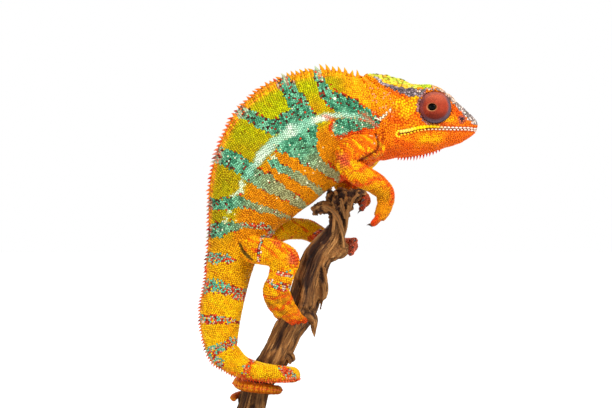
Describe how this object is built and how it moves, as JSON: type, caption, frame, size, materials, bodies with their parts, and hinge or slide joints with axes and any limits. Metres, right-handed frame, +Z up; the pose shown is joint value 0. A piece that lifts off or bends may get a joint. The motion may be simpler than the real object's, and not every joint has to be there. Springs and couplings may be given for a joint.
{
  "type": "panther chameleon",
  "caption": "Life-size museum model of a panther chameleon holding a cut length of driftwood, on a rod and a flat display base.",
  "frame": {"origin": "centre of the underside of the display base", "axes": "+Z up; +X the way the animal faces, so its right side faces -Y; +Y towards its left side"},
  "size_m": [0.136, 0.084, 0.1814],
  "materials": {
    "skin": "semi-matt scaly skin, orange and yellow with green bands and a pale flank stripe",
    "eyelid": "semi-matt granular skin, brick red",
    "eye": "wet, glossy, nearly black",
    "driftwood": "dry, weathered, unvarnished",
    "stand_steel": "brushed",
    "stand_base": "satin black"
  },
  "bodies": {
    "root": {"head": "skin", "lower_jaw": "skin", "neck": "skin", "trunk": "skin", "tail_base": "skin", "tail_turn": "skin", "tail_first_loop": "skin", "tail_second_loop": "skin", "tail_tip": "skin", "upper_arm_right": "skin", "forearm_right": "skin", "hand_right": "skin", "upper_arm_left": "skin", "forearm_left": "skin", "hand_left": "skin", "thigh_right": "skin", "shin_right": "skin", "foot_right": "skin", "thigh_left": "skin", "shin_left": "skin", "foot_left": "skin", "eye_turret_right": "eyelid", "eyeball_right": "eye", "eye_turret_left": "eyelid", "eyeball_left": "eye", "perch_branch": "driftwood", "stand_rod": "stand_steel", "stand_base": "stand_base"}
  },
  "joints": []
}
